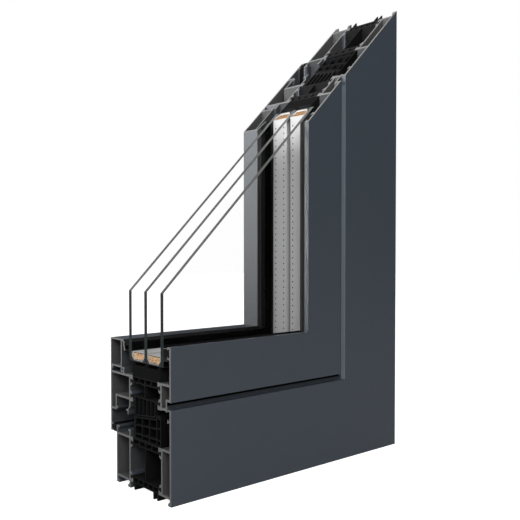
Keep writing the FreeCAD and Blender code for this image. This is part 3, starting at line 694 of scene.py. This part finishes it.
def bent_strip(sheet, side):
    """The sides and the back of the strip along both legs, and its wall's thickness at the cuts."""
    outside, inside = outline(side), outline(side, SPACER_WALL)
    for place, start, end in ((on_rail, rail_start, rail_end), (on_jamb, jamb_start, jamb_end)):
        for loop in (outside, inside):
            for (d0, h0), (d1, h1) in zip(loop, loop[1:]):
                first = place(start(h0), d0, h0), place(end(h0), d0, h0)
                second = place(end(h1), d1, h1), place(start(h1), d1, h1)
                sheet.add([*first, *second])
    rims = [
        (outside[k], outside[k + 1], inside[k + 1], inside[k]) for k in range(len(outside) - 1)
    ]
    rims.append((outside[0], inside[0], inside[-1], outside[-1]))
    for place, stop in ((on_rail, rail_start), (on_jamb, jamb_end)):
        for rim in rims:
            sheet.add([place(stop(h), d, h) for d, h in rim])


def hole_ring(middle, radius):
    """The corners of a hole's rim."""
    turns = [math.radians(HOLE_TURN + 360.0 * k / HOLE_SIDES) for k in range(HOLE_SIDES)]
    return [(middle[0] + radius * math.cos(t), middle[1] + radius * math.sin(t)) for t in turns]


def holed_cell(sheet, place, level, corners, ring):
    """A rectangle with a round hole in it: three faces in each of its quarters."""
    quarter = HOLE_SIDES // 4
    half = quarter // 2
    for k in range(4):
        here, after = corners[k], corners[(k + 1) % 4]
        arc = [ring[(k * quarter + j) % HOLE_SIDES] for j in range(quarter + 1)]
        for face in (
            [here, *arc[: half + 1]],
            [after, *arc[half:][::-1]],
            [here, arc[half], after],
        ):
            sheet.add([place(a, d, level) for a, d in face])


def perforated_face(sheet, side):
    """Both surfaces of the face towards the cavity, with two rows of flared holes through it."""
    near, far = SPACER_DEPTHS[side]
    high = SPACER_HEIGHT[1]
    low = high - SPACER_WALL
    edges = [near + SHOULDER]
    for row in (near + HOLE_INSET, far - HOLE_INSET):
        edges += [row - ROW_HALF, row + ROW_HALF]
    edges.append(far - SHOULDER)
    for place, corner, cut, way, count in HOLED_LEGS:
        centres = [HOLE_START + HOLE_PITCH * k for k in range(count)]
        for level, radius in ((high, HOLE_RADIUS), (low, FLARE_RADIUS)):
            between = [corner(high) + way * (centre + HOLE_PITCH / 2) for centre in centres]
            stops = [corner(level), *between, cut(level)]
            for band in range(len(edges) - 1):
                d0, d1 = edges[band : band + 2]
                for cell in range(len(stops) - 1):
                    a0, a1 = sorted(stops[cell : cell + 2])
                    corners = [(a0, d0), (a1, d0), (a1, d1), (a0, d1)]
                    if band not in HOLED_BANDS or cell == count:
                        sheet.add([place(a, d, level) for a, d in corners])
                        continue
                    middle = (corner(high) + way * centres[cell], (d0 + d1) / 2)
                    ring = hole_ring(middle, radius)
                    holed_cell(sheet, place, level, corners, ring)
                    if level == low:
                        continue
                    flare = hole_ring(middle, FLARE_RADIUS)
                    for k in range(HOLE_SIDES):
                        j = (k + 1) % HOLE_SIDES
                        rim = [place(a, d, high) for a, d in (ring[k], ring[j])]
                        sheet.add(rim + [place(a, d, low) for a, d in (flare[j], flare[k])])


def perforated_spacer(side):
    """The spacer as it is made: a bent strip with two rows of small holes towards the cavity."""
    sheet = Faces()
    bent_strip(sheet, side)
    perforated_face(sheet, side)
    thing = add_mesh(f"{side}_perforated_spacer", sheet.points, sheet.faces, spacer)
    weld(thing)
    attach(thing, "root")
    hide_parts(f"{side}_spacer")


GASKET_LIP = [(8.0, 114.0), (9.3, 113.4), (9.3, 115.5), (9.0, 115.7), (8.6, 115.3)]

FILL_TOP = 105.8
FILL_SET_BACK = 1.5  # how far behind the cuts the plain filling starts
FILL_PLAY = 0.05  # between the filling and the spacer's wall

BEAD_RADIUS = 0.55
BEAD_SIZES = (0.86, 1.1)  # a bead's radius as a share of that
BEAD_SQUEEZE = (0.9, 1.0)  # a bead's share of its radius in each direction
BEAD_STEP = 1.06
ROW_STEP = BEAD_STEP * math.sqrt(0.75)
FIRST_BEAD = (0.5, 0.4)  # its depth and height from the spacer's outer corner
DEPTH_PLAY = 0.11
HEIGHT_PLAY = 0.1
CUT_PLAY = (0.02, 0.22)  # how far a bead stays behind the cut
LAYER_SHIFT = 0.3  # of the layer behind, in depth
LAYER_STEP = 0.8  # of the layer behind, away from the cut
BEAD_CLEARANCE = 0.8  # share of its radius that a bead's middle keeps from the wall
BEAD_SMOOTH_ANGLE = 40
SEEDS = {"outer": 11, "inner": 12}


def in_hollow(side, depth, height, clear):
    """Whether a bead's middle fits inside the hollow of the spacer."""
    near, far = SPACER_DEPTHS[side]
    inner = SPACER_WALL + clear
    low, high = SPACER_HEIGHT[0] + inner, SPACER_HEIGHT[1] - inner
    if not (near + inner < depth < far - inner and low < height < high):
        return False
    from_corner = min(depth - near - inner, far - inner - depth) + (height - low)
    return from_corner > SPACER_CHAMFER - inner


def bead_places(side):
    """The middle, radius and squeeze of each bead: two layers in staggered rows at each cut."""
    near, far = SPACER_DEPTHS[side]
    chance = random.Random(SEEDS[side])
    for cut in ("left", "slant"):
        for layer in (0, 1):
            height = SPACER_HEIGHT[0] + FIRST_BEAD[1]
            row = layer
            while height < SPACER_HEIGHT[1]:
                depth = near + FIRST_BEAD[0] + row % 2 * BEAD_STEP / 2 + LAYER_SHIFT * layer
                while depth < far:
                    radius = BEAD_RADIUS * chance.uniform(*BEAD_SIZES)
                    d = depth + chance.uniform(-DEPTH_PLAY, DEPTH_PLAY)
                    h = height + chance.uniform(-HEIGHT_PLAY, HEIGHT_PLAY)
                    back = radius + chance.uniform(*CUT_PLAY) + LAYER_STEP * layer
                    depth += BEAD_STEP
                    if not in_hollow(side, d, h, radius * BEAD_CLEARANCE):
                        continue
                    if cut == "left":
                        middle = on_rail(rail_start(h) + back, d, h)
                    else:
                        middle = on_jamb(jamb_end(h) - back * ROOT_2, d, h)
                    squeeze = [chance.uniform(*BEAD_SQUEEZE) for _ in range(3)]
                    yield Vector(middle), radius, Vector(squeeze)
                height += ROW_STEP
                row += 1


def desiccant_fill(side):
    """Beads of molecular sieve: whole ones at the two cuts and a plain filling behind them."""
    near, far = SPACER_DEPTHS[side]
    wall = SPACER_WALL + FILL_PLAY
    low = SPACER_HEIGHT[0] + wall
    near_side = [
        (near + wall, FILL_TOP),
        (near + wall, low + SPACER_CHAMFER),
        (near + wall + SPACER_CHAMFER, low),
    ]
    far_side = [(near + far - depth, height) for depth, height in near_side[::-1]]
    points, faces = swept(near_side + far_side, FILL_SET_BACK)

    seed = bmesh.new()
    bmesh.ops.create_icosphere(seed, subdivisions=2, radius=1.0)
    seed.verts.ensure_lookup_table()
    ball = [vertex.co.copy() for vertex in seed.verts]
    ball_faces = [tuple(vertex.index for vertex in face.verts) for face in seed.faces]
    seed.free()
    for middle, radius, squeeze in bead_places(side):
        first = len(points)
        points += [middle + corner * squeeze * (radius * MM) for corner in ball]
        faces += [tuple(first + k for k in face) for face in ball_faces]

    thing = add_mesh(f"{side}_desiccant_beads", points, faces, desiccant)
    weld(thing)
    thing.data.shade_smooth()
    thing.data.set_sharp_from_angle(angle=math.radians(BEAD_SMOOTH_ANGLE))
    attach(thing, "root")
    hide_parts(f"{side}_desiccant")


def gasket_lip():
    """The outer glazing gasket's thin lip against the pane."""
    thing = add_mesh("outer_gasket_lip", *swept(GASKET_LIP), outer_gasket)
    weld(thing)
    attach(thing, "root")


gasket_lip()
for side in SPACER_DEPTHS:
    perforated_spacer(side)
    desiccant_fill(side)


# ---------------------------------------------------------------- stage

FLOOR_REACH = 3.0
FLOOR_LIFT = 0.95  # glow that turns the floor white for the camera


def floor_material():
    """Pale floor: white to the camera, with the object's soft shadow."""
    material, tree = empty_material("floor")
    g = Graph(tree)
    grain = g.noise(g.node("ShaderNodeTexCoord").outputs["Object"], scale=40.0, detail=3.0)
    matt = g.node("ShaderNodeBsdfDiffuse", {"Color": g.mix(grain, *FLOOR)}).outputs[0]
    path = g.node("ShaderNodeLightPath").outputs
    seen = g.math("MAXIMUM", path["Is Camera Ray"], path["Is Transmission Ray"])
    glow = {"Color": WHITE, "Strength": g.math("MULTIPLY", seen, FLOOR_LIFT)}
    lift = g.node("ShaderNodeEmission", glow).outputs[0]
    both = g.node("ShaderNodeAddShader", {0: matt, 1: lift}).outputs[0]
    g.node("ShaderNodeOutputMaterial", {0: both})
    return material


corners = [(-1, -1), (1, -1), (1, 1), (-1, 1)]
floor = add_mesh(
    "floor",
    [(x * FLOOR_REACH, y * FLOOR_REACH, 0) for x, y in corners],
    [(0, 1, 2, 3)],
    floor_material(),
)

AMBIENT = 0.2  # the world's light on the object
GLOW_LEFT = (0.2, -0.9, 0.03, 1.7)  # from x to x, and from brightness to brightness
GLOW_ABOVE = (0.55, 0.8)  # from z to z


def studio_world():
    """A white backdrop with an even, low light; only reflections see it brighter to the left and
    overhead."""
    world = bpy.data.worlds.new("studio")
    bpy.context.scene.world = world
    world.use_nodes = True
    world.node_tree.nodes.clear()
    g = Graph(world.node_tree)
    path = g.node("ShaderNodeLightPath").outputs
    x, _, z = g.split(g.node("ShaderNodeTexCoord").outputs["Generated"])
    left = g.spread(x, *GLOW_LEFT)
    overhead = g.spread(z, *GLOW_ABOVE)
    light = g.blend(path["Is Glossy Ray"], AMBIENT, g.math("MAXIMUM", left, overhead))
    seen = g.math("MAXIMUM", path["Is Camera Ray"], path["Is Transmission Ray"])
    sky = {"Color": WHITE, "Strength": g.blend(seen, light, 1.0)}
    g.node("ShaderNodeOutputWorld", {0: g.node("ShaderNodeBackground", sky).outputs[0]})


studio_world()


def add_lamp(name, kind, place, target, power, **settings):
    """A lamp that points from its place at a target."""
    lamp = bpy.data.lights.new(name, kind)
    lamp.energy = power
    for key, value in settings.items():
        setattr(lamp, key, value)
    thing = bpy.data.objects.new(name, lamp)
    thing.location = place
    thing.rotation_euler = (Vector(target) - Vector(place)).to_track_quat("-Z", "Y").to_euler()
    bpy.context.scene.collection.objects.link(thing)
    return thing


CENTRE = (0.0, 0.0, 0.2)
SOFTBOXES = (  # name, place, width, height, power
    ("key", (-1.3, -1.85, 1.55), 1.3, 1.3, 42.0),
    ("back_left", (-1.0, 1.1, 0.35), 0.55, 0.55, 4.5),
    ("back_left_high", (-1.0, 1.1, 0.7), 0.5, 0.22, 1.4),
    ("high_back", (-0.2, 1.2, 1.25), 0.6, 0.6, 2.2),
    ("back_right", (1.5, 0.9, 0.9), 0.9, 0.9, 3.0),
)
for name, place, width, height, power in SOFTBOXES:
    thing = add_lamp(
        name, "AREA", place, CENTRE, power, shape="RECTANGLE", size=width, size_y=height
    )
    thing.visible_camera = False

# Narrow lamps for the slanted cut, the spacers' top ends and the rail's spacers.
SNOOTS = (  # name, place, target, cone in degrees, softness of its edge, power, radius
    ("top_snoot", (-1.2, 0.08, 0.45), (0.02, -0.01, 0.355), 7.0, 0.45, 52.0, 0.05),
    ("spacer_snoot", (-1.2, -0.02, 0.36), (0.019, -0.01, 0.3), 3.3, 1.0, 58.0, 0.01),
    ("rail_spacer_snoot", (-0.45, 0.75, 1.0), (-0.11, 0.0, 0.107), 3.4, 0.6, 22.0, 0.01),
)
for name, place, target, cone, softness, power, radius in SNOOTS:
    add_lamp(
        name, "SPOT", place, target, power,
        spot_size=math.radians(cone), spot_blend=softness, shadow_soft_size=radius,
    )

# The photo's camera, solved from 16 corner points.
camera = bpy.data.cameras.new("camera")
camera.sensor_width = 36.0
camera.lens = 50.09
eye = bpy.data.objects.new("camera", camera)
eye.location = (-0.41361, -0.47284, 0.18990)
eye.rotation_euler = (math.radians(88.6055), 0.0, math.radians(-40.838))
bpy.context.scene.collection.objects.link(eye)
bpy.context.scene.camera = eye

settings = bpy.context.scene.view_settings
settings.view_transform = "Standard"
